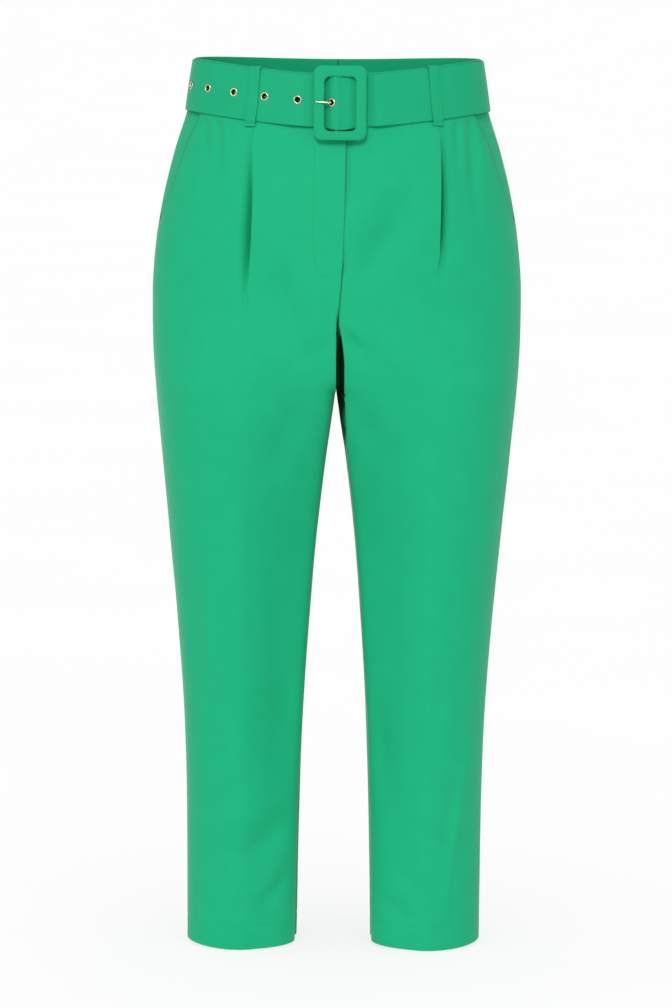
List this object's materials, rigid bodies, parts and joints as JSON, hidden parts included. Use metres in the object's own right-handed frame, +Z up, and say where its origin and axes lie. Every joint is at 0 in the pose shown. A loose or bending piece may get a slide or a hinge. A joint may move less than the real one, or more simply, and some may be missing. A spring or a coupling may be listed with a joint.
{
  "type": "high-waist pleated tapered trousers",
  "caption": "High-waist pleated trousers with slant pockets, tapered cropped legs and a wide self-fabric belt with covered buckle and metal eyelets, hollow as when worn.",
  "frame": {"origin": "the middle of the waist opening, level with the waistband's top edge at the sides, where the wearer's waist holds the trousers", "axes": "+Z up out of the waist, the front towards -Y, the wearer's left towards +X"},
  "size_m": [0.3838, 0.2609, 0.9311],
  "materials": {
    "cloth": "matt crepe, faintly lighter where it turns away",
    "gold": "polished"
  },
  "bodies": {
    "root": {"front_right": "cloth", "front_left": "cloth", "back_right": "cloth", "back_left": "cloth", "pocket_facing_right": "cloth", "pocket_facing_left": "cloth", "waistband_front_right": "cloth", "waistband_front_left": "cloth", "waistband_back_right": "cloth", "waistband_back_left": "cloth", "belt_strap": "cloth", "belt_loop_front_right": "cloth", "belt_loop_front_left": "cloth", "belt_loop_back_right": "cloth", "belt_loop_back_left": "cloth", "belt_loop_back_centre": "cloth", "buckle_frame": "cloth", "buckle_bar": "gold", "buckle_prong": "gold", "eyelet_1": "gold", "eyelet_2": "gold", "eyelet_3": "gold", "eyelet_4": "gold", "eyelet_5": "gold", "eyelet_6": "gold"}
  },
  "joints": []
}
